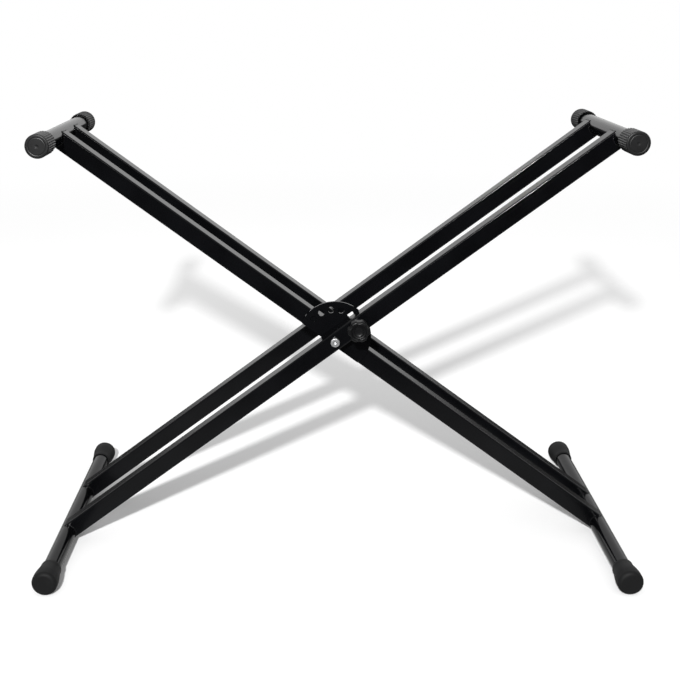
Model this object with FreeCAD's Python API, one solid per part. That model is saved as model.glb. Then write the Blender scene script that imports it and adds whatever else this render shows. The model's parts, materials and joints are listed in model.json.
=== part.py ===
"""Folding keyboard stand with two double-braced frames crossed on bolts.

The outer frame's two square tubes stand either side of the inner frame's pair.
Each pair is coped and welded to a round rest bar at the top and to a longer
round foot bar at the bottom. A sprung plunger on the outer frame drops into
the holes of an index plate on the inner frame and sets the height.

Millimetres, +Z up, X across the stand, Y its depth (front is -Y). The origin
is on the floor under the middle of the stand.
"""
import FreeCAD
import Part
import math
import os

Vector = FreeCAD.Vector

# ---------------------------------------------------------------- frames
arm_lower = 506.0         # pivot to the centre of the foot bar
arm_upper = 486.0         # pivot to the centre of the rest bar
rest_angle = 36.7         # slope of both arms above the floor, degrees
tube_side = 25.0
tube_wall = 1.5
tube_corner = 2.0
inner_gap = 56.0          # clear width between the two inner tubes
side_gap = 4.5            # between an outer tube and the inner tube beside it
cope_setback = 2.5        # tube ends stop this far short of the bar's centre line

# ---------------------------------------------------------------- bars and caps
bar_diameter = 25.0
bar_wall = 1.5
rest_bar_length = 310.0
foot_bar_length = 465.0

rest_cap_diameter = 32.0
rest_cap_length = 42.0
rest_cap_end = 4.0        # thickness of the closed end
rest_cap_rounding = 3.0   # plain rim at the closed end, in two slopes
rib_count = 40
rib_groove_width = 1.1
rib_groove_depth = 0.55

foot_cap_diameter = 36.0
foot_cap_length = 46.0
foot_cap_end = 5.0
foot_cap_rounding = 6.0   # three slopes round the closed end
foot_collar_diameter = 29.5
foot_collar_length = 5.0
foot_bulb_length = 17.0   # full-width part next to the closed end

# ---------------------------------------------------------------- pivot
bolt_diameter = 8.0
bolt_head_diameter = 13.0
bolt_head_height = 5.0
bolt_head_chamfer = 0.8
bolt_socket_width = 5.0
bolt_socket_depth = 2.8
bolt_tip_chamfer = 0.8
bolt_overhang = 1.5       # thread past the lock nut
nut_width = 13.0
nut_hex_height = 6.0
nut_collar_height = 2.0
nut_collar_diameter = 11.6
nut_insert_diameter = 10.4
nut_insert_height = 1.6
steel_washer_diameter = 16.0
steel_washer_thickness = 1.6
slip_washer_diameter = 22.0
sleeve_diameter = 12.0

# ---------------------------------------------------------------- index plate
plate_radius = 53.0
plate_thickness = 3.0
plate_edge_inset = 0.5    # straight edge lies this far inside the tube's lower face
plate_corner = 3.0
index_radius = 41.0
index_hole_diameter = 9.5
index_spacing = 20.4      # degrees between holes
holes_above = 5           # higher settings, the last one with the stand folded flat
holes_below = 2           # lower settings

# ---------------------------------------------------------------- plunger
plunger_diameter = 8.0
plunger_tip_chamfer = 1.0
engaged_depth = 2.7       # how far the tip goes into the plate
rod_diameter = 6.0
collar_diameter = 12.4
collar_thickness = 2.5
collar_stop_gap = 0.5     # left under the collar when the tip is fully in
barrel_diameter = 18.0
barrel_proud = 12.5       # how far the barrel stands out of the outer tube
barrel_chamfer = 1.0
chamber_diameter = 13.0
nose_guide_length = 7.0
barrel_plug_thickness = 4.0
spring_wire = 1.2         # square wire
spring_diameter = 9.6     # to the centre of the wire
spring_turns = 4

knob_diameter = 32.0
knob_head_length = 13.0
knob_neck_diameter = 17.0
knob_neck_length = 4.0
knob_rounding = 3.5
knob_lobes = 8
knob_scallop_radius = 4.6
knob_scallop_depth = 2.2
knob_hub_diameter = 14.0
knob_hub_height = 1.5
knob_dish_depth = 1.0
rod_in_knob = 12.0

# ---------------------------------------------------------------- clearances
weld_gap = 0.05           # between a welded piece and what it sits on
push_fit = 0.05           # radial, caps on bars and inserts in nuts
running_fit = 0.08        # radial, turning and sliding shafts
face_gap = 0.3            # between flat faces that move past each other

# ---------------------------------------------------------------- derived places
bar_radius = bar_diameter / 2
half_side = tube_side / 2
inner_y = inner_gap / 2 + half_side
outer_y = inner_y + tube_side + side_gap
inner_arm_face = inner_gap / 2 + tube_side
outer_arm_inside = inner_arm_face + side_gap
outer_arm_face = outer_arm_inside + tube_side
pivot_height = foot_cap_diameter / 2 + arm_lower * math.sin(math.radians(rest_angle))
arm_opening = 180.0 - 2 * rest_angle
outer_tilt = -rest_angle
inner_tilt = rest_angle - 180.0
hole_radius = bolt_diameter / 2 + running_fit


# ---------------------------------------------------------------- small helpers
def along_y(radius, start, end, x=0.0, z=0.0):
    """Round bar parallel to Y between two depths."""
    return Part.makeCylinder(radius, end - start, Vector(x, start, z), Vector(0, 1, 0))


def ring_y(outer_radius, inner_radius, start, end):
    """Washer or sleeve on the Y axis."""
    solid = along_y(outer_radius, start, end)
    return solid.cut(along_y(inner_radius, start - 1, end + 1))


def hexagon_y(width, start, end):
    """Hexagonal bar on the Y axis, given across its flats."""
    radius = width / math.sqrt(3)
    corners = []
    for step in range(7):
        turn = math.radians(60 * step)
        corners.append(Vector(radius * math.cos(turn), start, radius * math.sin(turn)))
    face = Part.Face(Part.makePolygon(corners))
    return face.extrude(Vector(0, end - start, 0))


def spun(edges):
    """Solid of revolution about Y from a closed outline in the XY plane."""
    outline = Part.Face(Part.Wire(edges))
    return outline.revolve(Vector(0, 0, 0), Vector(0, 1, 0), 360)


def path(*points):
    """Straight edges joining (radius, depth) points in turn."""
    corners = [Vector(radius, depth, 0) for radius, depth in points]
    return [Part.makeLine(first, second) for first, second in zip(corners, corners[1:])]


def turned_back(shape):
    """The same piece facing the rear instead of the front."""
    copy = shape.copy()
    copy.rotate(Vector(0, 0, 0), Vector(0, 0, 1), 180)
    return copy


def moved(shape, x, y, z=0.0):
    copy = shape.copy()
    copy.translate(Vector(x, y, z))
    return copy


def on_frame(shape, tilt):
    """Stand a piece drawn along X up to its frame's slope, with the pivot at its height."""
    copy = shape.copy()
    copy.rotate(Vector(0, 0, 0), Vector(0, 1, 0), tilt)
    copy.translate(Vector(0, 0, pivot_height))
    return copy


# ---------------------------------------------------------------- tubes and bars
def square_bar(side, corner, start, end):
    """Bar of rounded square section along X."""
    half = side / 2
    block = Part.makeBox(end - start, side, side, Vector(start, -half, -half))
    long_edges = [edge for edge in block.Edges if edge.BoundBox.XLength > side]
    return block.makeFillet(corner, long_edges)


def arm_tube(y):
    """Square tube from bar to bar, its ends coped round them, pivot hole drilled through."""
    start = -arm_lower + cope_setback
    end = arm_upper - cope_setback
    tube = square_bar(tube_side, tube_corner, start, end)
    tube = tube.cut(square_bar(tube_side - 2 * tube_wall, tube_corner - tube_wall, start - 1, end + 1))
    cope_radius = bar_radius + weld_gap
    for bar_x in (-arm_lower, arm_upper):
        tube = tube.cut(along_y(cope_radius, -tube_side, tube_side, bar_x))
    tube = tube.cut(along_y(hole_radius, -tube_side, tube_side))
    return moved(tube, 0, y)


def round_bar(length, x):
    """Round tube across the frame."""
    tube = ring_y(bar_radius, bar_radius - bar_wall, -length / 2, length / 2)
    return moved(tube, x, 0)


# ---------------------------------------------------------------- rubber caps
def rounded_end(radius, end, rounding, slopes):
    """Outline points of a rim rounded in short slopes, from the axis out to the full radius."""
    points = []
    for step in range(slopes, -1, -1):
        turn = math.pi / 2 * step / slopes
        points.append((radius - rounding + rounding * math.cos(turn),
                       end + rounding - rounding * math.sin(turn)))
    return points


def ribbed_bar(radius, start, end):
    """Bar along Y with flat-crested ribs and a V groove between each pair."""
    pitch = 2 * math.pi / rib_count
    half_crest = pitch / 2 - rib_groove_width / 2 / radius
    valley = radius - rib_groove_depth
    corners = []
    for rib in range(rib_count):
        for turn, reach in ((-half_crest, radius), (half_crest, radius), (pitch / 2, valley)):
            angle = pitch * rib + turn
            corners.append(Vector(reach * math.cos(angle), start, reach * math.sin(angle)))
    face = Part.Face(Part.makePolygon(corners + corners[:1]))
    return face.extrude(Vector(0, end - start, 0))


def rest_cap():
    """Ribbed cap of a rest bar; open lip at y = 0, closed end towards -Y."""
    radius = rest_cap_diameter / 2
    length = rest_cap_length
    rib_end = -length + rest_cap_rounding
    rim = rounded_end(radius, -length, rest_cap_rounding, 2)
    plain_end = spun(path((0, -length), *rim, (0, rib_end), (0, -length)))
    cap = ribbed_bar(radius, rib_end, 0).fuse(plain_end).removeSplitter()
    return cap.cut(along_y(bar_radius + push_fit, -length + rest_cap_end, 1))


def foot_cap():
    """Smooth bulb cap of a foot bar; open collar at y = 0, closed end towards -Y."""
    radius = foot_cap_diameter / 2
    collar = foot_collar_diameter / 2
    bore = bar_radius + push_fit
    length = foot_cap_length
    rim = rounded_end(radius, -length, foot_cap_rounding, 3)
    outline = path((bore, -length + foot_cap_end), (bore, 0), (collar, 0), (collar, -foot_collar_length),
                   (radius, -length + foot_bulb_length), *reversed(rim), (0, -length),
                   (0, -length + foot_cap_end), (bore, -length + foot_cap_end))
    return spun(outline)


# ---------------------------------------------------------------- pivot hardware
def pivot_bolt():
    """Low-head socket bolt seated on the front of the outer tube, its thread towards the middle."""
    radius = bolt_diameter / 2
    head = bolt_head_diameter / 2
    seat = -outer_arm_face
    tip = nut_end() + bolt_overhang
    top = seat - bolt_head_height
    bolt = spun(path((0, tip), (radius - bolt_tip_chamfer, tip), (radius, tip - bolt_tip_chamfer),
                     (radius, seat), (head, seat), (head, top + bolt_head_chamfer),
                     (head - bolt_head_chamfer, top), (0, top), (0, tip)))
    return bolt.cut(hexagon_y(bolt_socket_width, top - 1, top + bolt_socket_depth))


def nut_start():
    """Depth of the lock nut's seat, on its washer inside the inner tube."""
    return -inner_gap / 2 + face_gap + steel_washer_thickness


def nut_end():
    return nut_start() + nut_hex_height + nut_collar_height


def lock_nut():
    """Hexagon with chamfered corners and a round collar that holds the locking ring."""
    start = nut_start()
    hex_end = start + nut_hex_height
    corner = nut_width / math.sqrt(3)
    chamfer = corner - nut_width / 2
    outline = spun(path((0, start), (nut_width / 2, start), (corner, start + chamfer),
                        (corner, hex_end - chamfer), (nut_width / 2, hex_end), (0, hex_end), (0, start)))
    nut = hexagon_y(nut_width, start, hex_end).common(outline)
    nut = nut.fuse(along_y(nut_collar_diameter / 2, hex_end - 1, nut_end()))
    nut = nut.cut(along_y(bolt_diameter / 2 + push_fit, start - 1, nut_end() + 1))
    pocket = along_y(nut_insert_diameter / 2 + push_fit, nut_end() - nut_insert_height, nut_end() + 1)
    return nut.cut(pocket).removeSplitter()


def nut_insert():
    """Plastic ring in the nut's collar that grips the thread."""
    start = nut_end() - nut_insert_height
    return ring_y(nut_insert_diameter / 2, bolt_diameter / 2 + push_fit, start, nut_end())


def nut_washer():
    start = -inner_gap / 2 + face_gap
    return ring_y(steel_washer_diameter / 2, hole_radius, start, start + steel_washer_thickness)


def slip_washer(filled):
    """Plastic washer on the inside of an outer tube; filled is what else the side gap holds."""
    start = -outer_arm_inside
    return ring_y(slip_washer_diameter / 2, hole_radius, start, start + side_gap - filled - face_gap)


def pivot_sleeve():
    """Steel sleeve inside an inner tube, the bearing that the bolt turns in."""
    start = -inner_arm_face + tube_wall
    end = -inner_gap / 2 - tube_wall
    return ring_y(sleeve_diameter / 2, hole_radius, start + weld_gap, end - weld_gap)


# ---------------------------------------------------------------- index plate
def index_plate():
    """D-shaped plate on the front inner tube, its holes on a circle about the pivot."""
    back = -inner_arm_face
    front = back - plate_thickness
    chord = half_side - plate_edge_inset
    plate = along_y(plate_radius, front, back)
    plate = plate.cut(Part.makeBox(3 * plate_radius, 3 * plate_thickness, plate_radius,
                                   Vector(-1.5 * plate_radius, front - plate_thickness, chord)))
    corners = [edge for edge in plate.Edges
               if edge.BoundBox.XLength < 0.01 and edge.BoundBox.ZLength < 0.01
               and edge.BoundBox.ZMin > chord - 0.01]
    plate = plate.makeFillet(plate_corner, corners)
    holes = [along_y(hole_radius, front - 1, back + 1)]
    for step in range(-holes_below, holes_above + 1):
        turn = math.radians(arm_opening - index_spacing * step)
        holes.append(along_y(index_hole_diameter / 2, front - 1, back + 1,
                             index_radius * math.cos(turn), -index_radius * math.sin(turn)))
    return plate.cut(Part.makeCompound(holes))


# ---------------------------------------------------------------- plunger, at the pivot's place
plate_front = -inner_arm_face - plate_thickness
tip_rest = plate_front - face_gap
engage_travel = engaged_depth + face_gap
barrel_start = -outer_arm_inside
barrel_end = -outer_arm_face - barrel_proud
chamber_start = barrel_start - nose_guide_length
plug_start = barrel_end + barrel_plug_thickness
collar_back = chamber_start - engage_travel - collar_stop_gap
collar_front = collar_back - collar_thickness
knob_back = barrel_end - engage_travel - face_gap
knob_shoulder = knob_back - knob_neck_length
knob_front = knob_shoulder - knob_head_length


def lock_barrel():
    """Turned steel barrel through both walls of the front outer tube, with a spring chamber."""
    barrel = ring_y(barrel_diameter / 2, plunger_diameter / 2 + running_fit, barrel_end, barrel_start)
    barrel = barrel.cut(along_y(chamber_diameter / 2, barrel_end - 1, chamber_start))
    rim = [edge for edge in barrel.Edges
           if abs(edge.BoundBox.YMax - barrel_end) < 0.01 and edge.BoundBox.XLength > barrel_diameter - 0.1]
    return barrel.makeChamfer(barrel_chamfer, rim)


def barrel_plug():
    """Screwed plug that closes the spring chamber round the rod."""
    return ring_y(chamber_diameter / 2 - push_fit, rod_diameter / 2 + running_fit, barrel_end, plug_start)


def lock_plunger():
    """Pin with a chamfered nose, a collar for the spring and a rod out to the knob."""
    nose = plunger_diameter / 2
    rod = rod_diameter / 2
    collar = collar_diameter / 2
    rod_end = knob_back - rod_in_knob
    return spun(path((0, tip_rest), (nose - plunger_tip_chamfer, tip_rest),
                     (nose, tip_rest - plunger_tip_chamfer), (nose, collar_back), (collar, collar_back),
                     (collar, collar_front), (rod, collar_front), (rod, rod_end), (0, rod_end),
                     (0, tip_rest)))


def biarc(start, start_way, end, end_way):
    """Two arcs that join two points along given unit directions."""
    chord = end - start
    ways = start_way + end_way
    turn = 2 * (1 - start_way.dot(end_way))
    reach = (math.sqrt(chord.dot(ways) ** 2 + turn * chord.dot(chord)) - chord.dot(ways)) / turn
    joint = (start + start_way * reach + end - end_way * reach) * 0.5
    return [tangent_arc(start, start_way, joint), tangent_arc(end, end_way * -1, joint)]


def tangent_arc(start, way, end):
    """Arc from start along way to end, as an edge."""
    chord = end - start
    half_turn = way.getAngle(chord)
    side = way - chord * (way.dot(chord) / chord.dot(chord))
    side.normalize()
    middle = start + chord * 0.5 + side * (chord.Length / 2 * math.tan(half_turn / 2))
    return Part.Arc(start, middle, end).toShape()


def lock_spring():
    """Compression spring between the plunger's collar and the plug."""
    radius = spring_diameter / 2
    end_gap = spring_wire / math.sqrt(2) + face_gap
    start_y = plug_start + end_gap
    end_y = collar_front - end_gap
    quarters = 4 * spring_turns
    rise = (end_y - start_y) / quarters
    slope = Vector(0, rise, 0) * (2 / math.pi)
    points = []
    ways = []
    for quarter in range(quarters + 1):
        turn = math.pi / 2 * quarter
        points.append(Vector(radius * math.cos(turn), start_y + rise * quarter, radius * math.sin(turn)))
        way = Vector(-radius * math.sin(turn), slope.y, radius * math.cos(turn))
        ways.append(way.normalize())
    edges = []
    for quarter in range(quarters):
        edges += biarc(points[quarter], ways[quarter], points[quarter + 1], ways[quarter + 1])
    across = points[0] - Vector(0, start_y, 0)
    across.normalize()
    side = across * (spring_wire / 2)
    rise_side = across.cross(ways[0]) * (spring_wire / 2)
    corners = [points[0] + side + rise_side, points[0] - side + rise_side,
               points[0] - side - rise_side, points[0] + side - rise_side]
    section = Part.makePolygon(corners + corners[:1])
    print("spring pitch %.2f, gap between turns %.2f" % (4 * rise, 4 * rise - spring_wire))
    return Part.Wire(edges).makePipeShell([section], True, False)


def lobed_bar(radius, start, end):
    """Bar along Y with rounded lobes and a scallop between each pair."""
    turn = math.pi / knob_lobes
    centre = radius + knob_scallop_radius - knob_scallop_depth
    cut_turn = math.acos((radius ** 2 + centre ** 2 - knob_scallop_radius ** 2) / (2 * radius * centre))
    edges = []
    for lobe in range(knob_lobes):
        middle = 2 * turn * lobe
        rim = [middle - turn + cut_turn, middle, middle + turn - cut_turn]
        crest = [Vector(radius * math.cos(angle), start, radius * math.sin(angle)) for angle in rim]
        edges.append(Part.Arc(*crest).toShape())
        next_rim = middle + turn + cut_turn
        depth = radius - knob_scallop_depth
        scallop = Vector(depth * math.cos(middle + turn), start, depth * math.sin(middle + turn))
        far = Vector(radius * math.cos(next_rim), start, radius * math.sin(next_rim))
        edges.append(Part.Arc(crest[2], scallop, far).toShape())
    return Part.Face(Part.Wire(edges)).extrude(Vector(0, end - start, 0))


def lock_knob():
    """Lobed hand knob with a raised hub ring, moulded round the end of the rod."""
    radius = knob_diameter / 2
    hub = knob_hub_diameter / 2
    hub_front = knob_front - knob_hub_height
    rim = rounded_end(radius, knob_front, knob_rounding, 2)
    back_rim = [(reach, knob_front + knob_shoulder - depth) for reach, depth in reversed(rim)]
    envelope = spun(path((0, knob_front), *rim, *back_rim, (0, knob_shoulder), (0, knob_front)))
    knob = lobed_bar(radius, knob_front, knob_shoulder).common(envelope)
    knob = knob.fuse(along_y(knob_neck_diameter / 2, knob_shoulder - 1, knob_back))
    knob = knob.fuse(spun(path((0, knob_front + 1), (hub, knob_front + 1), (hub, knob_front),
                               (hub - knob_hub_height / 2, hub_front), (0, hub_front), (0, knob_front + 1))))
    dish = hub - knob_hub_height
    knob = knob.cut(along_y(dish - knob_dish_depth / 2, hub_front - 1, hub_front + knob_dish_depth))
    bore_end = knob_back - rod_in_knob - push_fit
    knob = knob.cut(along_y(rod_diameter / 2 + push_fit, bore_end, knob_back + 1))
    return knob.removeSplitter()


# ---------------------------------------------------------------- the assembly
def outer_frame():
    front_arm = arm_tube(-outer_y).cut(along_y(barrel_diameter / 2 + weld_gap, -outer_arm_face - 1,
                                               -outer_arm_inside + 1, index_radius))
    drawn = {
        "outer_arm_front": front_arm,
        "outer_arm_rear": arm_tube(outer_y),
        "outer_rest_bar": round_bar(rest_bar_length, arm_upper),
        "outer_foot_bar": round_bar(foot_bar_length, -arm_lower),
        "pivot_bolt_front": pivot_bolt(),
        "pivot_bolt_rear": turned_back(pivot_bolt()),
        "pivot_nut_front": lock_nut(),
        "pivot_nut_rear": turned_back(lock_nut()),
        "nut_locking_ring_front": nut_insert(),
        "nut_locking_ring_rear": turned_back(nut_insert()),
        "nut_washer_front": nut_washer(),
        "nut_washer_rear": turned_back(nut_washer()),
        "slip_washer_front": slip_washer(plate_thickness),
        "slip_washer_rear": turned_back(slip_washer(0)),
        "lock_barrel": moved(lock_barrel(), index_radius, 0),
        "lock_barrel_plug": moved(barrel_plug(), index_radius, 0),
        "lock_spring": moved(lock_spring(), index_radius, 0),
        "lock_plunger": moved(lock_plunger(), index_radius, 0),
        "lock_knob": moved(lock_knob(), index_radius, 0),
    }
    drawn.update(bar_caps("outer"))
    return {node: on_frame(shape, outer_tilt) for node, shape in drawn.items()}


def inner_frame():
    drawn = {
        "inner_arm_front": arm_tube(-inner_y),
        "inner_arm_rear": arm_tube(inner_y),
        "inner_rest_bar": round_bar(rest_bar_length, arm_upper),
        "inner_foot_bar": round_bar(foot_bar_length, -arm_lower),
        "pivot_sleeve_front": pivot_sleeve(),
        "pivot_sleeve_rear": turned_back(pivot_sleeve()),
        "index_plate": index_plate(),
    }
    drawn.update(bar_caps("inner"))
    return {node: on_frame(shape, inner_tilt) for node, shape in drawn.items()}


def bar_caps(frame):
    """Four rubber caps, pushed on until the closed end meets the end of the bar."""
    caps = {}
    for kind, cap, length, x, wall, bar in (
            ("rest", rest_cap(), rest_cap_length, arm_upper, rest_cap_end, rest_bar_length),
            ("foot", foot_cap(), foot_cap_length, -arm_lower, foot_cap_end, foot_bar_length)):
        lip = -bar / 2 - weld_gap - wall + length
        caps["%s_%s_cap_front" % (frame, kind)] = moved(cap, x, lip)
        caps["%s_%s_cap_rear" % (frame, kind)] = moved(turned_back(cap), x, -lip)
    return caps


def main():
    os.makedirs("parts", exist_ok=True)
    pieces = outer_frame()
    pieces.update(inner_frame())
    for node, shape in pieces.items():
        if not shape.isValid() or len(shape.Solids) != 1:
            raise ValueError("%s is not one sound solid" % node)
        shape.exportStep("parts/%s.step" % node)
    print("%d pieces, pivot at %.2f" % (len(pieces), pivot_height))
    print("index range %.1f to %.1f degrees" % (-index_spacing * holes_below, index_spacing * holes_above))


main()
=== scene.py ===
"""Looks of a folding keyboard stand: powder coat, rubber caps, welds, bolts and hand knob.

Metres, +Z up, X across the stand, Y its depth with the front at -Y. Each operator
makes one group of pieces round the fixed frame, and the panel lists them.
"""
import json
import math

import bpy
from bpy.props import FloatProperty, FloatVectorProperty, IntProperty, PointerProperty
from mathutils import Matrix, Vector


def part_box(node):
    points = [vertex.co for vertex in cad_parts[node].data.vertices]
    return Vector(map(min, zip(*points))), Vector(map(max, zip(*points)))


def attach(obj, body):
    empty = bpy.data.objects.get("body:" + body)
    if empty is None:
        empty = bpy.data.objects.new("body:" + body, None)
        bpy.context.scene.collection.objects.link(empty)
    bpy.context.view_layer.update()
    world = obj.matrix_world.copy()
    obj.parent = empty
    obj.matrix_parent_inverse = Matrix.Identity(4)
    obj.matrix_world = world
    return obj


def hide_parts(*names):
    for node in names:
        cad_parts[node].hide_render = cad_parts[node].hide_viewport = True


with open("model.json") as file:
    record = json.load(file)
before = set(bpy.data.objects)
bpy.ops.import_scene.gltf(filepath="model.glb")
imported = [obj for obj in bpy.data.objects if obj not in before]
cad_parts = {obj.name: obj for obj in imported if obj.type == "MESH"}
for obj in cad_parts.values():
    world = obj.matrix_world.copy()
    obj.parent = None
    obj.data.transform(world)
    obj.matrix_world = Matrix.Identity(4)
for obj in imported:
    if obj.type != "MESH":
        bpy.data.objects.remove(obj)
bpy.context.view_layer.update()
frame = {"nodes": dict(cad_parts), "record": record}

bl_info = {
    "name": "Folding keyboard stand",
    "version": (1, 0, 0),
    "blender": (4, 5, 0),
    "location": "View3D > Sidebar > Stand",
    "description": "Dresses the folding keyboard stand and lights it in a pale studio",
    "category": "Object",
}

NODES = frame["nodes"]
FINISHES = {}
MM = 0.001

# Colour sockets of a Mix node, whose names its number and vector sockets have too.
MIX_FACTOR, MIX_FIRST, MIX_SECOND, MIX_RESULT = 0, 6, 7, 2


# ---------------------------------------------------------------- measures from the frame
def middle(node):
    """Centre of a node's box."""
    low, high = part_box(node)
    return (low + high) / 2


def across(node):
    """Diameter of a round node whose axis runs along Y."""
    low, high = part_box(node)
    return high.x - low.x


def deep(node):
    """Size of a node along Y."""
    low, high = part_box(node)
    return high.y - low.y


def end_face(node):
    """Middle of the face that a round node turns outwards, to the front or to the rear."""
    low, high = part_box(node)
    centre = (low + high) / 2
    centre.y = low.y if centre.y < 0 else high.y
    return centre


PIVOT = middle("pivot_bolt_front")
BAR_RADIUS = across("outer_rest_bar") / 2


def slope(frame_name):
    """Turn about Y that lays +X along a frame's arms, from its foot bar to its rest bar."""
    way = middle(frame_name + "_rest_bar") - middle(frame_name + "_foot_bar")
    return math.atan2(-way.z, way.x)


# ---------------------------------------------------------------- sizes and colours
def colour(name, description, default):
    return FloatVectorProperty(name=name, description=description, default=default,
                               subtype="COLOR", size=3, min=0.0, max=1.0)


def length(name, description, default):
    return FloatProperty(name=name, description=description, default=default,
                         subtype="DISTANCE", unit="LENGTH", min=0.0)


def share(name, description, default):
    return FloatProperty(name=name, description=description, default=default,
                         subtype="FACTOR", min=0.0, max=1.0)


def rotation(name, description, degrees):
    return FloatProperty(name=name, description=description, default=math.radians(degrees),
                         subtype="ANGLE", unit="ROTATION")


def position(name, description, default):
    return FloatVectorProperty(name=name, description=description, default=default,
                               subtype="TRANSLATION", unit="LENGTH", size=3)


class StandFinishes(bpy.types.PropertyGroup):
    """Colours and gloss of the stand's materials."""
    coat: colour("Powder coat", "Black powder coat of tubes, bars and plate", (0.0018, 0.0019, 0.0023))
    coat_gloss: share("Coat roughness", "Roughness of the powder coat", 0.15)
    ribbed_rubber: colour("Ribbed rubber", "Rubber of the caps on the rest bars", (0.0028, 0.0029, 0.0031))
    smooth_rubber: colour("Smooth rubber", "Rubber of the caps on the foot bars", (0.0028, 0.0029, 0.0031))
    knob: colour("Knob", "Moulded plastic of the hand knob", (0.0016, 0.0017, 0.0020))
    zinc: colour("Zinc", "Bright zinc plate of bolts and nuts", (0.62, 0.625, 0.63))
    steel: colour("Steel", "Bright steel of plunger and spring", (0.60, 0.60, 0.61))
    black_steel: colour("Blackened steel", "Plunger barrel", (0.020, 0.021, 0.023))
    nylon: colour("White nylon", "Locking rings in the nuts", (0.75, 0.76, 0.74))


class StandCaps(bpy.types.PropertyGroup):
    """Shapes of the rubber caps."""
    rib_count: IntProperty(name="Ribs", description="Ribs round a rest cap", default=30, min=12)
    groove_depth: length("Groove depth", "Depth of the grooves between the ribs", 1.1 * MM)
    plain_rim: length("Plain rim", "Width of the smooth band at the closed end", 1.9 * MM)
    rest_rounding: length("Rest cap rounding", "Radius round the end of a rest cap", 1.7 * MM)
    rest_floor: length("Rest cap floor", "Thickness of the closed end of a rest cap", 4.0 * MM)
    ring_radius: length("End ring", "Radius of the ring moulded in a rest cap's end", 11.8 * MM)
    mouth_radius: length("Mouth", "Inner radius of a rest cap's open end", 14.6 * MM)
    mouth_depth: length("Mouth depth", "How far the wide mouth reaches into a rest cap", 5.0 * MM)
    collar_radius: length("Foot collar", "Radius of a foot cap's open end", 14.75 * MM)
    collar_length: length("Foot collar length", "Straight part at a foot cap's open end", 5.0 * MM)
    bulb_length: length("Foot bulb", "Full-width part of a foot cap, from its closed end", 15.0 * MM)
    foot_rounding: length("Foot cap rounding", "Radius round the end of a foot cap", 6.0 * MM)
    foot_floor: length("Foot cap floor", "Thickness of the closed end of a foot cap", 5.0 * MM)


class StandHardware(bpy.types.PropertyGroup):
    """Shapes of the knob, the pivot bolts and the welds."""
    lobes: IntProperty(name="Lobes", description="Lobes round the hand knob", default=6, min=3)
    scallop_radius: length("Scallop radius", "Radius of the hollow between two lobes", 8.0 * MM)
    scallop_depth: length("Scallop depth", "How far the hollows cut into the knob", 1.8 * MM)
    knob_neck: length("Knob neck", "Radius of the neck behind the lobes", 8.5 * MM)
    neck_length: length("Neck length", "Length of the neck behind the lobes", 4.0 * MM)
    shoulder_radius: length("Knob shoulder", "Radius of the flat between neck and lobes", 9.2 * MM)
    knob_rounding: length("Knob rounding", "Radius round the front rim of the lobes", 3.5 * MM)
    hub_radius: length("Hub ring", "Outer radius of the ring in the knob's face", 6.8 * MM)
    recess_radius: length("Recess", "Radius of the recess in the knob's face", 10.4 * MM)
    recess_depth: length("Recess depth", "Depth of the recess in the knob's face", 2.8 * MM)
    knob_back_rounding: length("Knob back rim", "Radius round the lobes' rim beside the neck", 1.6 * MM)
    head_height: length("Bolt head", "Height of the pivot bolts' heads", 5.0 * MM)
    head_rounding: length("Bolt head rim", "Rounding round the bolt heads", 0.8 * MM)
    shank_radius: length("Bolt shank", "Radius of the pivot bolts", 4.0 * MM)
    socket_width: length("Socket", "Width across the flats of the socket", 5.0 * MM)
    socket_depth: length("Socket depth", "Depth of the socket", 2.8 * MM)
    socket_turn: rotation("Socket turn", "Turn of the sockets about the bolts' axis", 12.0)
    thread_pitch: length("Thread pitch", "Pitch of the bolts' thread", 1.25 * MM)
    thread_turns: IntProperty(name="Thread turns", description="Turns of the bolts' thread",
                              default=9, min=1)
    bead_radius: length("Weld bead", "Radius of the weld beads", 1.5 * MM)
    tack_radius: length("Tack weld", "Radius of the tack welds on the plate's rim", 1.6 * MM)
    bead_step: length("Weld ripple", "Distance between the ripples of a weld", 1.8 * MM)
    bead_sunk: length("Weld depth", "How far a weld bead's middle lies inside the tube", 0.7 * MM)
    weld_grain: length("Weld grain", "Fineness of the skin over a weld's drops", 0.42 * MM)
    tube_corner: length("Tube corner", "Outer radius of the square tubes' corners", 2.0 * MM)
    tube_setback: length("Tube setback", "How far the tubes end from a bar's middle", 2.5 * MM)


class StandStage(bpy.types.PropertyGroup):
    """Camera, floor and lamps."""
    focal_length: FloatProperty(name="Focal length", description="For a 36 mm wide sensor",
                                default=57.81, unit="CAMERA")
    camera_place: position("Camera", "Place of the camera, with its height above the pivot",
                           (-0.03111, -1.58131, 0.46508))
    pitch: rotation("Pitch", "How far the camera looks down", 16.573)
    yaw: rotation("Yaw", "How far the camera looks to the right", -0.527)
    roll: rotation("Roll", "Turn of the camera about its view", -0.345)
    shift_x: FloatProperty(name="Shift across", description="The photo is a crop off its middle",
                           default=0.0532, unit="NONE")
    shift_y: FloatProperty(name="Shift up", description="The photo is a crop off its middle",
                           default=-0.0154, unit="NONE")
    lamp_place: position("Lamp", "Place of the round key lamp", (-0.337, -2.546, 1.610))
    lamp_size: length("Lamp size", "Diameter of the round key lamp", 0.12)
    lamp_power: FloatProperty(name="Lamp power", description="Power of the key lamp",
                              default=110.0, unit="POWER")
    sky: share("Sky", "Level of the white surroundings", 0.5)
    front_sky: share("Front", "Level that shiny surfaces mirror on the camera's side", 0.35)
    dark_room: share("Dark room", "Level that shiny surfaces mirror below the horizon", 0.04)
    floor_size: length("Floor", "Side of the square floor", 40.0)


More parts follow.
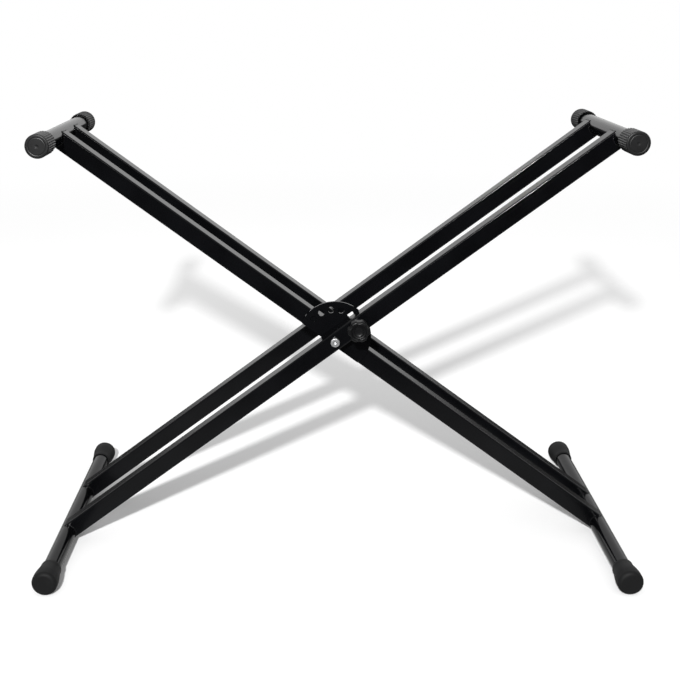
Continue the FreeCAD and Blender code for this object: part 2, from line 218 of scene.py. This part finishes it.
# ---------------------------------------------------------------- shader expressions
class Value:
    """A shader socket that adds, multiplies and subtracts like a number."""

    def __init__(self, finish, socket):
        self.finish = finish
        self.socket = socket

    def maths(self, operation, *others):
        return self.finish.node("ShaderNodeMath", {"operation": operation}, [self, *others])

    def __add__(self, other):
        return self.maths("ADD", other)

    __radd__ = __add__

    def __mul__(self, other):
        return self.maths("MULTIPLY", other)

    __rmul__ = __mul__

    def __sub__(self, other):
        return self.maths("SUBTRACT", other)

    def __rsub__(self, other):
        return self.finish.node("ShaderNodeMath", {"operation": "SUBTRACT"}, [other, self])

    def between(self, low, high, least=0.0):
        """The least value below low, 1 above high, smooth in between."""
        return self.finish.node("ShaderNodeMapRange", {"interpolation_type": "SMOOTHSTEP"},
                                {"Value": self, "From Min": low, "From Max": high, "To Min": least})

    def beside(self, output):
        """Another output of the node that gives this value."""
        return Value(self.finish, self.socket.node.outputs[output])


class Shading:
    """The nodes of one material or world."""

    def __init__(self, owner, coordinates):
        owner.use_nodes = True
        self.tree = owner.node_tree
        self.place = self.node("ShaderNodeTexCoord", output=coordinates)

    def node(self, kind, settings=(), inputs=(), output=0):
        """A node of this kind, its settings made first, then its sockets filled."""
        made = self.tree.nodes.new(kind)
        for setting, value in dict(settings).items():
            setattr(made, setting, value)
        filled = dict(inputs) if isinstance(inputs, dict) else dict(enumerate(inputs))
        for socket, value in filled.items():
            self.fill(made.inputs[socket], value)
        return Value(self, made.outputs[output])

    def fill(self, socket, value):
        if isinstance(value, Value):
            self.tree.links.new(value.socket, socket)
        elif socket.type == "RGBA" and len(value) == 3:
            socket.default_value = (*value, 1.0)
        else:
            socket.default_value = value

    def parts(self):
        """X, Y and Z of the place."""
        first = self.node("ShaderNodeSeparateXYZ", {}, [self.place])
        return first, first.beside("Y"), first.beside("Z")

    def choice(self, amount, first, second):
        """The first shader, or the second one where the amount is 1."""
        return self.node("ShaderNodeMixShader", {}, [amount, first, second])

    def shown(self, output, shader):
        """Show this shader at the material's or the world's output."""
        self.fill(self.tree.nodes[output].inputs["Surface"], shader)


class Finish(Shading):
    """One node-based material."""

    def __init__(self, name):
        self.material = bpy.data.materials.new(name)
        super().__init__(self.material, "Object")
        self.shader = self.tree.nodes["Principled BSDF"]

    def noise(self, scale, detail=3.0, roughness=0.5):
        return self.node("ShaderNodeTexNoise", {"noise_dimensions": "3D"},
                         {"Vector": self.place, "Scale": scale, "Detail": detail, "Roughness": roughness})

    def mix(self, amount, first, second):
        """Colour between two colours."""
        return self.node("ShaderNodeMix", {"data_type": "RGBA"},
                         {MIX_FACTOR: amount, MIX_FIRST: first, MIX_SECOND: second}, output=MIX_RESULT)

    def bump(self, height, distance, strength):
        normal = self.node("ShaderNodeBump", {}, {"Height": height, "Distance": distance,
                                                  "Strength": strength})
        self.fill(self.shader.inputs["Normal"], normal)

    def surface(self, **sockets):
        for name, value in sockets.items():
            self.fill(self.shader.inputs[name.replace("_", " ")], value)


def scaled(tone, factor):
    return tuple(min(1.0, channel * factor) for channel in tone)


def powder_coat(tone, roughness):
    """Satin black powder coat with fine orange peel."""
    finish = Finish("black_powder_coat")
    peel = finish.noise(900.0, 2.0)
    cloud = finish.noise(14.0, 3.0)
    finish.surface(Base_Color=finish.mix(cloud.between(0.35, 0.65), scaled(tone, 0.8), scaled(tone, 1.25)),
                   Roughness=cloud * 0.04 + (roughness - 0.02), IOR=1.28)
    finish.bump(peel, 0.00008, 0.12)
    return finish.material


def rubber(name, tone, roughness, sheen, bloom):
    """Moulded rubber with a fine matt grain and a faint pale bloom."""
    finish = Finish(name)
    grain = finish.noise(1500.0, 2.0)
    patch = finish.noise(45.0, 4.0, 0.6)
    finish.surface(Base_Color=finish.mix(patch.between(0.42, 0.72), tone, scaled(tone, bloom)),
                   Roughness=patch * 0.12 + (roughness - 0.06), IOR=sheen)
    finish.bump(grain, 0.00006, 0.5)
    return finish.material


def plated(name, tone, roughness):
    """Metal with a fine turned grain and faint clouding."""
    finish = Finish(name)
    cloud = finish.noise(160.0, 3.0)
    finish.surface(Base_Color=finish.mix(cloud.between(0.3, 0.7), scaled(tone, 0.88), tone),
                   Roughness=cloud * 0.14 + (roughness - 0.07), Metallic=1.0)
    finish.bump(finish.noise(2600.0, 2.0), 0.00002, 0.4)
    return finish.material


def moulded(name, tone, roughness):
    """Moulded plastic with a faint spark-eroded grain."""
    finish = Finish(name)
    patch = finish.noise(60.0, 3.0)
    finish.surface(Base_Color=finish.mix(patch, scaled(tone, 0.85), scaled(tone, 1.2)),
                   Roughness=patch * 0.08 + (roughness - 0.04), IOR=1.30)
    finish.bump(finish.noise(1800.0, 2.0), 0.00003, 0.5)
    return finish.material


# ---------------------------------------------------------------- modelling
def alone(*pieces):
    """Select only these pieces, the last one active."""
    bpy.ops.object.select_all(action="DESELECT")
    for piece in pieces:
        piece.select_set(True)
        bpy.context.view_layer.objects.active = piece


def rim(radius, rounding, count):
    """(depth, radius) steps round the closed end of a turned piece, from its side to its face."""
    steps = []
    for step in range(count + 1):
        turn = math.pi / 2 * step / count
        steps.append((rounding * (1 - math.sin(turn)), radius - rounding * (1 - math.cos(turn))))
    return steps


def turned(name, steps, sides):
    """Turn (depth, radius) steps round the Y axis, from a closed disc to a closed disc."""
    alone()
    depth, radius = steps[0]
    bpy.ops.mesh.primitive_circle_add(vertices=sides, radius=radius, fill_type="TRIFAN",
                                      location=(0.0, depth, 0.0), rotation=(math.pi / 2, 0.0, 0.0))
    piece = bpy.context.active_object
    piece.name = name
    bpy.ops.object.transform_apply(location=True, rotation=True, scale=True)
    bpy.ops.object.mode_set(mode="EDIT")
    bpy.ops.mesh.select_all(action="SELECT")
    for next_depth, next_radius in steps[1:]:
        bpy.ops.mesh.extrude_region_move(
            TRANSFORM_OT_translate={"value": (0.0, next_depth - depth, 0.0)})
        factor = next_radius / radius
        bpy.ops.transform.resize(value=(factor, 1.0, factor), center_override=(0.0, next_depth, 0.0))
        depth, radius = next_depth, next_radius
    bpy.ops.mesh.select_all(action="SELECT")
    bpy.ops.mesh.normals_make_consistent(inside=False)
    bpy.ops.object.mode_set(mode="OBJECT")
    return piece


def pressed(piece, sides, period, factors, low, high, least):
    """Scale the rings between two depths, by a factor for each place in a repeated pattern."""
    for place, factor in enumerate(factors):
        alone(piece)
        bpy.ops.object.mode_set(mode="EDIT")
        bpy.ops.mesh.select_all(action="DESELECT")
        bpy.ops.object.mode_set(mode="OBJECT")
        for vertex in piece.data.vertices:
            across_x, depth, across_z = vertex.co
            number = round(math.atan2(across_z, across_x) / (2 * math.pi) * sides) % period
            vertex.select = (low < depth < high and math.hypot(across_x, across_z) > least
                             and min(number, period - number) == place)
        bpy.ops.object.mode_set(mode="EDIT")
        bpy.ops.transform.resize(value=(factor, 1.0, factor), center_override=(0.0, 0.0, 0.0))
        bpy.ops.object.mode_set(mode="OBJECT")


def smoothed(piece, degrees):
    alone(piece)
    bpy.ops.object.shade_smooth_by_angle(angle=math.radians(degrees))


def finished(piece, modifier):
    """Apply a modifier."""
    alone(piece)
    bpy.ops.object.modifier_apply(modifier=modifier.name)


def copied(model, name, place, half_turn=False, turn=0.0):
    """A copy of a model with its own mesh, put at its place in that mesh."""
    alone(model)
    bpy.ops.object.duplicate(linked=False)
    piece = bpy.context.active_object
    piece.name = name
    piece.data.name = name
    piece.rotation_euler = (0.0, turn, math.pi if half_turn else 0.0)
    piece.location = place
    bpy.ops.object.transform_apply(location=True, rotation=True, scale=True)
    return piece


def settled(piece, body, finish, *replaced):
    """Finish a piece, let it ride on a body and take the place of CAD nodes."""
    piece.data.materials.clear()
    piece.data.materials.append(FINISHES[finish])
    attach(piece, body)
    if replaced:
        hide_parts(*replaced)


def put_away(model):
    bpy.data.objects.remove(model, do_unlink=True)


# ---------------------------------------------------------------- operators
class DressFrame(bpy.types.Operator):
    """Give every piece of the frame its finish"""
    bl_idname = "stand.dress_frame"
    bl_label = "Finish the frame"

    def execute(self, context):
        tones = context.scene.stand_finishes
        FINISHES.update({
            "black_powder_coat": powder_coat(tones.coat, tones.coat_gloss),
            "ribbed_rubber": rubber("ribbed_rubber", tones.ribbed_rubber,
                                    roughness=0.42, sheen=1.42, bloom=1.5),
            "smooth_rubber": rubber("smooth_rubber", tones.smooth_rubber,
                                    roughness=0.62, sheen=1.28, bloom=1.4),
            "zinc_plate": plated("zinc_plate", tones.zinc, roughness=0.40),
            "bright_steel": plated("bright_steel", tones.steel, roughness=0.28),
            "black_steel": moulded("black_steel", tones.black_steel, roughness=0.38),
            "moulded_knob": moulded("moulded_knob", tones.knob, roughness=0.40),
            "white_nylon": moulded("white_nylon", tones.nylon, roughness=0.42),
            "black_nylon": moulded("black_nylon", tones.knob, roughness=0.42),
        })
        for part in frame["record"]["subparts"]:
            piece = NODES[part["node"]]
            piece.data.materials.clear()
            piece.data.materials.append(FINISHES[part["material_slot"]])
        return {"FINISHED"}


class RibbedCaps(bpy.types.Operator):
    """Model the ribbed rubber caps on the ends of both rest bars"""
    bl_idname = "stand.ribbed_caps"
    bl_label = "Ribbed caps"

    def execute(self, context):
        sizes = context.scene.stand_caps
        radius = across("outer_rest_cap_front") / 2
        lip = deep("outer_rest_cap_front")
        mouth = sizes.mouth_radius
        mouth_floor = lip - sizes.mouth_depth
        bevel = 0.7 * MM
        groove_end = sizes.plain_rim + 0.6 * MM
        per_rib = 8
        sides = per_rib * sizes.rib_count
        inside = [(sizes.rest_floor, BAR_RADIUS / 2), (sizes.rest_floor, BAR_RADIUS),
                  (mouth_floor, BAR_RADIUS), (mouth_floor, mouth - 0.5 * MM),
                  (lip - 0.4 * MM, mouth), (lip, mouth + 0.2 * MM), (lip, radius - bevel)]
        outside = [(lip - bevel, radius), (groove_end, radius), (sizes.plain_rim, radius)]
        end = [*rim(radius, sizes.rest_rounding, 5), *self.ring(sizes.ring_radius), *self.dimple()]
        model = turned("rest_cap", [*inside, *outside, *end], sides)
        groove = [1.0, 0.85, 0.35]
        factors = [1 - depth * sizes.groove_depth / radius for depth in groove]
        first = (sizes.plain_rim + groove_end) / 2
        pressed(model, sides, per_rib, factors, first, lip - bevel / 2, BAR_RADIUS + MM)
        smoothed(model, 58)
        for frame_name in ("outer", "inner"):
            for side in ("front", "rear"):
                node = f"{frame_name}_rest_cap_{side}"
                cap = copied(model, f"{frame_name}_ribbed_cap_{side}", end_face(node), side == "rear")
                settled(cap, f"{frame_name}_frame", "ribbed_rubber", node)
        put_away(model)
        return {"FINISHED"}

    def ring(self, radius):
        """(depth, radius) steps of the shallow ring near the rim of a cap's end."""
        sunk = 0.25 * MM
        width = 0.6 * MM
        slant = 0.4 * MM
        inner = radius - width
        return [(0.0, radius + 2 * slant), (0.0, radius + slant), (sunk, radius),
                (sunk, inner), (0.0, inner - slant), (0.0, inner - 2 * slant)]

    def dimple(self):
        """(depth, radius) steps of the moulding mark in the middle of a cap's end."""
        sunk = 0.25 * MM
        radius = 2.4 * MM
        return [(0.0, 1.25 * radius), (0.0, radius), (0.8 * sunk, radius * 2 / 3), (sunk, radius / 3)]


class FootCaps(bpy.types.Operator):
    """Model the smooth bulb-shaped caps on the ends of both foot bars"""
    bl_idname = "stand.foot_caps"
    bl_label = "Foot caps"

    def execute(self, context):
        sizes = context.scene.stand_caps
        radius = across("outer_foot_cap_front") / 2
        lip = deep("outer_foot_cap_front")
        bevel = 0.8 * MM
        collar = sizes.collar_radius
        collar_end = lip - sizes.collar_length
        mouth = [(sizes.foot_floor, BAR_RADIUS / 2), (sizes.foot_floor, BAR_RADIUS),
                 (lip - bevel, BAR_RADIUS), (lip, BAR_RADIUS + bevel / 2), (lip, collar - bevel),
                 (lip - bevel / 3, collar - bevel / 3), (lip - bevel, collar), (collar_end, collar)]
        flare = self.flare(collar_end, collar, sizes.bulb_length, radius)
        disc = radius - sizes.foot_rounding
        sunk = 0.2 * MM
        face = [(0.0, disc - 0.3 * MM), (sunk, disc - 0.7 * MM), (sunk, disc - 1.2 * MM), (sunk, 2.0 * MM)]
        model = turned("foot_cap", [*mouth, *flare, *rim(radius, sizes.foot_rounding, 9), *face], 96)
        smoothed(model, 50)
        for frame_name in ("outer", "inner"):
            for side in ("front", "rear"):
                node = f"{frame_name}_foot_cap_{side}"
                cap = copied(model, f"{frame_name}_bulb_cap_{side}", end_face(node), side == "rear")
                settled(cap, f"{frame_name}_frame", "smooth_rubber", node)
        put_away(model)
        return {"FINISHED"}

    def flare(self, start, start_radius, end, end_radius):
        """(depth, radius) steps of the side that widens from the collar to the bulb."""
        count = 8
        straight = 0.45
        steps = []
        for step in range(1, count + 1):
            way = step / count
            eased = way * way * (3 - 2 * way)
            widened = straight * way + (1 - straight) * eased
            steps.append((start + (end - start) * way, start_radius + (end_radius - start_radius) * widened))
        return steps


class HandKnob(bpy.types.Operator):
    """Model the lobed hand knob of the locking plunger"""
    bl_idname = "stand.hand_knob"
    bl_label = "Hand knob"

    def execute(self, context):
        sizes = context.scene.stand_hardware
        radius = across("lock_knob") / 2
        back = deep("lock_knob")
        shoulder = back - sizes.neck_length
        face = 0.6 * MM
        per_lobe = 24
        sides = per_lobe * sizes.lobes
        front_rim = [(face + depth, reach) for depth, reach in rim(radius, sizes.knob_rounding, 7)]
        back_rim = [(shoulder - depth, reach)
                    for depth, reach in reversed(rim(radius, sizes.knob_back_rounding, 4))]
        model = turned("knob", [
            *self.neck(sizes, back, shoulder), *back_rim, *front_rim, *self.recess(sizes, face),
            *self.hub(sizes.hub_radius, face + 0.5 * MM)], sides)
        factors = self.scallops(sizes, radius, per_lobe)
        pressed(model, sides, per_lobe, factors, face - MM, shoulder + MM, sizes.recess_radius + MM)
        smoothed(model, 40)
        knob = copied(model, "hand_knob", end_face("lock_knob"))
        settled(knob, "plunger", "moulded_knob", "lock_knob")
        put_away(model)
        return {"FINISHED"}

    def neck(self, sizes, back, shoulder):
        """(depth, radius) steps of the rod's hole and the neck behind the lobes."""
        rod = across("lock_plunger") / 4
        rod_depth = 12 * MM
        bevel = 0.6 * MM
        neck = sizes.knob_neck
        return [(back - rod_depth, rod), (back, rod), (back, neck - bevel), (back - bevel, neck),
                (shoulder, neck), (shoulder, sizes.shoulder_radius)]

    def recess(self, sizes, face):
        """(depth, radius) steps from the lobes' front down to the recess and up the hub's side."""
        floor = face + sizes.recess_depth
        edge = sizes.recess_radius
        hub = sizes.hub_radius
        fillet = 0.4 * MM
        return [(face + 0.2 * MM, edge + 0.6 * MM), (face + 0.8 * MM, edge),
                (floor - fillet, edge - 0.3 * MM), (floor, edge - 0.8 * MM),
                (floor, hub + fillet), (floor - fillet, hub)]

    def hub(self, radius, crest):
        """(depth, radius) steps over the hub's ring into its shallow dish."""
        # Millimetres below the ring's crest, and inwards from the hub's side.
        dish = [(0.3, 1.3), (0.6, 2.4), (0.8, 3.8), (0.9, 5.2)]
        return [(crest + 0.4 * MM, radius - 0.1 * MM), (crest, radius - 0.5 * MM), (crest, radius - 0.9 * MM),
                *[(crest + below * MM, radius - inward * MM) for below, inward in dish],
                (crest + 0.92 * MM, 0.8 * MM)]

    def scallops(self, sizes, radius, per_lobe):
        """Factors that press round hollows between the lobes, from a hollow's edge to its middle."""
        far = radius + sizes.scallop_radius - sizes.scallop_depth
        factors = []
        for place in range(per_lobe // 2 + 1):
            angle = math.pi / sizes.lobes * (1 - 2 * place / per_lobe)
            hidden = sizes.scallop_radius ** 2 - (far * math.sin(angle)) ** 2
            reach = far * math.cos(angle) - math.sqrt(hidden) if hidden > 0 else radius
            factors.append(min(reach, radius) / radius)
        return factors


class PivotBolts(bpy.types.Operator):
    """Model the socket bolts that both frames turn on"""
    bl_idname = "stand.pivot_bolts"
    bl_label = "Pivot bolts"

    def execute(self, context):
        sizes = context.scene.stand_hardware
        head = across("pivot_bolt_front") / 2
        tip = deep("pivot_bolt_front")
        seat = sizes.head_height
        shank = sizes.shank_radius
        pitch = sizes.thread_pitch
        root = shank - 0.6 * pitch
        thread_end = tip - 0.4 * MM
        steps = [(tip, root - 0.3 * MM), (thread_end, root)]
        for number in range(sizes.thread_turns):
            start = thread_end - number * pitch
            steps += [(start - 0.42 * pitch, shank), (start - 0.56 * pitch, shank),
                      (start - 0.98 * pitch, root)]
        steps += [(steps[-1][0] - 0.5 * MM, shank), (seat, shank), (seat, head - 0.2 * MM),
                  (seat - 0.2 * MM, head), *rim(head, sizes.head_rounding, 4)]
        model = turned("bolt", steps, 64)
        self.cut_socket(model, sizes)
        smoothed(model, 35)
        for side in ("front", "rear"):
            node = f"pivot_bolt_{side}"
            bolt = copied(model, f"socket_bolt_{side}", end_face(node), side == "rear",
                          sizes.socket_turn)
            settled(bolt, "outer_frame", "zinc_plate", node)
        put_away(model)
        return {"FINISHED"}

    def cut_socket(self, model, sizes):
        """Hexagonal socket with a drilled cone at its floor."""
        corner = sizes.socket_width / math.sqrt(3)
        cutter = turned("socket", [(-MM, corner), (sizes.socket_depth, corner),
                                   (sizes.socket_depth, corner * 0.8),
                                   (sizes.socket_depth + 1.2 * MM, corner * 0.05)], 6)
        cut = model.modifiers.new("socket", "BOOLEAN")
        cut.operation = "DIFFERENCE"
        cut.solver = "EXACT"
        cut.object = cutter
        finished(model, cut)
        put_away(cutter)


class WeldBeads(bpy.types.Operator):
    """Lay the rippled weld beads where the square tubes meet the round bars"""
    bl_idname = "stand.weld_beads"
    bl_label = "Weld beads"
    tack_degrees = (132.5, 142.5)
    tack_spread = 1.2

    def execute(self, context):
        sizes = context.scene.stand_hardware
        model = self.bead(sizes)
        for frame_name in ("outer", "inner"):
            for bar, half_turn in (("foot", 0.0), ("rest", math.pi)):
                for side in ("front", "rear"):
                    place = middle(f"{frame_name}_{bar}_bar")
                    place.y = middle(f"{frame_name}_arm_{side}").y
                    bead = copied(model, f"{frame_name}_{bar}_weld_{side}", place,
                                  turn=slope(frame_name) + half_turn)
                    settled(bead, f"{frame_name}_frame", "black_powder_coat")
        put_away(model)
        self.tacks(sizes)
        return {"FINISHED"}

    def tacks(self, sizes):
        """Two short tack welds that hold the index plate's rim to the front inner tube."""
        rear_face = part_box("index_plate")[1].y
        rim_radius = across("index_plate") / 2 + sizes.tack_radius
        drops = []
        for degrees in self.tack_degrees:
            for step in (-1, 0, 1):
                angle = math.radians(degrees + self.tack_spread * step)
                place = Vector((math.cos(angle), 0.0, math.sin(angle))) * rim_radius + PIVOT
                place.y = rear_face - sizes.tack_radius / 2
                drops.append(self.drop(place, sizes.tack_radius, 3))
        settled(self.melted(drops, "plate_tack_welds", sizes), "inner_frame", "bright_steel")

    def drop(self, place, radius, fineness):
        alone()
        bpy.ops.mesh.primitive_ico_sphere_add(subdivisions=fineness, radius=radius, location=place)
        return bpy.context.active_object

    def melted(self, drops, name, sizes):
        """Drops run together into one skin."""
        alone(*drops)
        bpy.ops.object.join()
        model = bpy.context.active_object
        model.name = name
        model.data.name = name
        bpy.ops.object.transform_apply(location=True, rotation=True, scale=True)
        melt = model.modifiers.new("melt", "REMESH")
        melt.mode = "VOXEL"
        melt.voxel_size = sizes.weld_grain
        finished(model, melt)
        relax = model.modifiers.new("relax", "SMOOTH")
        relax.iterations = 2
        finished(model, relax)
        smoothed(model, 60)
        return model

    def bead(self, sizes):
        """One bead round a square tube that leaves a bar along +X, melted from overlapping drops."""
        half = deep("outer_arm_front") / 2
        corner = sizes.tube_corner
        straight = 2 * (half - corner)
        quarter = straight + math.pi / 2 * corner
        count = round(4 * quarter / sizes.bead_step)
        drops = []
        for number in range(count):
            side, run = divmod(number * 4 * quarter / count, quarter)
            if run < straight:
                facing = Vector((1.0, 0.0))
                edge = Vector((half, run - straight / 2))
            else:
                bend = (run - straight) / corner
                facing = Vector((math.cos(bend), math.sin(bend)))
                edge = Vector((half - corner, straight / 2)) + facing * corner
            edge = Matrix.Rotation(math.pi / 2 * side, 2) @ (edge - facing * sizes.bead_sunk)
            seam = math.sqrt(max(BAR_RADIUS ** 2 - edge.y ** 2, sizes.tube_setback ** 2))
            drops.append(self.drop((seam, edge.x, edge.y), sizes.bead_radius, 2))
        return self.melted(drops, "bead", sizes)


class BuildStage(bpy.types.Operator):
    """Set the camera, the pale floor and the lamps"""
    bl_idname = "stand.build_stage"
    bl_label = "Stage"

    def execute(self, context):
        settings = context.scene.stand_stage
        self.camera(context, settings)
        self.floor(settings)
        self.surroundings(context, settings)
        self.key_lamp(context, settings)
        context.scene.view_settings.view_transform = "Standard"
        return {"FINISHED"}

    def camera(self, context, settings):
        """Camera a step away from the stand, looking a little down."""
        pitch, yaw, roll = settings.pitch, settings.yaw, settings.roll
        ahead = Vector((math.sin(yaw) * math.cos(pitch), math.cos(yaw) * math.cos(pitch), -math.sin(pitch)))
        level = Vector((math.cos(yaw), -math.sin(yaw), 0.0))
        upright = level.cross(ahead)
        right = level * math.cos(roll) + upright * math.sin(roll)
        up = upright * math.cos(roll) - level * math.sin(roll)
        lens = bpy.data.cameras.new("camera")
        lens.sensor_width = 36.0
        lens.lens = settings.focal_length
        lens.shift_x = settings.shift_x
        lens.shift_y = settings.shift_y
        camera = bpy.data.objects.new("camera", lens)
        context.scene.collection.objects.link(camera)
        place = Matrix((right, up, -ahead)).transposed().to_4x4()
        place.translation = settings.camera_place + Vector((0.0, 0.0, PIVOT.z))
        camera.matrix_world = place
        context.scene.camera = camera

    def floor(self, settings):
        """Pale floor, paler still far behind the stand, that keeps the stand's shadow; the paler part is
        painted light, a glow that fades the shadow with distance.
        """
        alone()
        bpy.ops.mesh.primitive_plane_add(size=settings.floor_size, location=(0.0, 0.0, 0.0))
        floor = bpy.context.active_object
        floor.name = "floor"
        finish = Finish("studio_floor")
        finish.surface(Base_Color=(0.90, 0.90, 0.90), Roughness=0.9, Specular_IOR_Level=0.0)
        lit = Value(finish, finish.shader.outputs["BSDF"])
        shadow_fading_glow, white, dark = [finish.node("ShaderNodeEmission", {}, {"Strength": strength})
                             for strength in (1.3, 1.0, 0.0)]
        behind = finish.parts()[1]
        distance = finish.node("ShaderNodeVectorMath", {"operation": "LENGTH"}, [finish.place],
                               output="Value")
        gloss = finish.node("ShaderNodeLightPath", output="Is Glossy Ray")
        watched = gloss + gloss.beside("Is Camera Ray")
        # Painted light: for the camera and shiny surfaces, a glow of strength 1.3 is mixed in, up to a share
        # of 0.35, further behind the stand, lightening the stand's shadow there.
        near = finish.choice(watched * behind.between(-0.5, 1.6) * 0.35, lit, shadow_fading_glow)
        whole = finish.choice(watched * distance.between(1.8, 4.0), near, white)
        under_stand = behind.between(-1.0, -0.3) * (1.0 - behind.between(-0.1, 0.4))
        mirrored = under_stand * 0.5 + settings.dark_room
        finish.shown("Material Output", finish.choice(gloss * (1.0 - mirrored), whole, dark))
        floor.data.materials.append(finish.material)

    def surroundings(self, context, settings):
        """White all round for the camera, plain sky light, and a dimmer room in front for gloss."""
        world = bpy.data.worlds.new("studio")
        context.scene.world = world
        studio = Shading(world, "Generated")
        depth, height = studio.parts()[1:]
        room = depth.between(-0.55, 0.25, settings.front_sky)
        level = room * height.between(-0.005, 0.02, settings.dark_room)
        sky, white, mirrored = [studio.node("ShaderNodeBackground", {}, [(1.0, 1.0, 1.0), strength])
                                for strength in (settings.sky, 1.0, level)]
        gloss = studio.node("ShaderNodeLightPath", output="Is Glossy Ray")
        unseen = studio.choice(gloss, sky, mirrored)
        studio.shown("World Output", studio.choice(gloss.beside("Is Camera Ray"), unseen, white))

    def key_lamp(self, context, settings):
        """Round lamp in front, high and a little to the left, whose light doesn't fade with distance."""
        place = settings.lamp_place
        key_distance = (place - PIVOT).length
        lamp = bpy.data.lights.new("key_lamp", "AREA")
        lamp.shape = "DISK"
        lamp.size = settings.lamp_size
        lamp.energy = settings.lamp_power
        lamp.use_nodes = True
        even = lamp.node_tree.nodes.new("ShaderNodeLightFalloff")
        even.inputs["Strength"].default_value = 1.0 / (key_distance ** 2)
        emission = lamp.node_tree.nodes["Emission"]
        lamp.node_tree.links.new(even.outputs["Constant"], emission.inputs["Strength"])
        key = bpy.data.objects.new("key_lamp", lamp)
        context.scene.collection.objects.link(key)
        key.location = place
        key.rotation_euler = (PIVOT - key.location).to_track_quat("-Z", "Y").to_euler()


class StandPanel(bpy.types.Panel):
    """Lists the stand's pieces in the sidebar"""
    bl_idname = "VIEW3D_PT_stand"
    bl_label = "Keyboard stand"
    bl_space_type = "VIEW_3D"
    bl_region_type = "UI"
    bl_category = "Stand"

    def draw(self, context):
        for operator in OPERATORS:
            self.layout.operator(operator.bl_idname)
        scene = context.scene
        for group in (scene.stand_finishes, scene.stand_caps, scene.stand_hardware, scene.stand_stage):
            box = self.layout.box()
            for name in group.bl_rna.properties.keys():
                if name not in ("name", "rna_type"):
                    box.prop(group, name)


OPERATORS = (DressFrame, RibbedCaps, FootCaps, HandKnob, PivotBolts, WeldBeads, BuildStage)
GROUPS = {
    "stand_finishes": StandFinishes,
    "stand_caps": StandCaps,
    "stand_hardware": StandHardware,
    "stand_stage": StandStage,
}
CLASSES = (*GROUPS.values(), *OPERATORS, StandPanel)


def register():
    for kind in CLASSES:
        bpy.utils.register_class(kind)
    for name, group in GROUPS.items():
        setattr(bpy.types.Scene, name, PointerProperty(type=group))


def unregister():
    for name in GROUPS:
        delattr(bpy.types.Scene, name)
    for kind in reversed(CLASSES):
        bpy.utils.unregister_class(kind)


def main():
    register()
    bpy.ops.stand.dress_frame()
    bpy.ops.stand.ribbed_caps()
    bpy.ops.stand.foot_caps()
    bpy.ops.stand.hand_knob()
    bpy.ops.stand.pivot_bolts()
    bpy.ops.stand.weld_beads()
    bpy.ops.stand.build_stage()


if __name__ == "__main__":
    main()
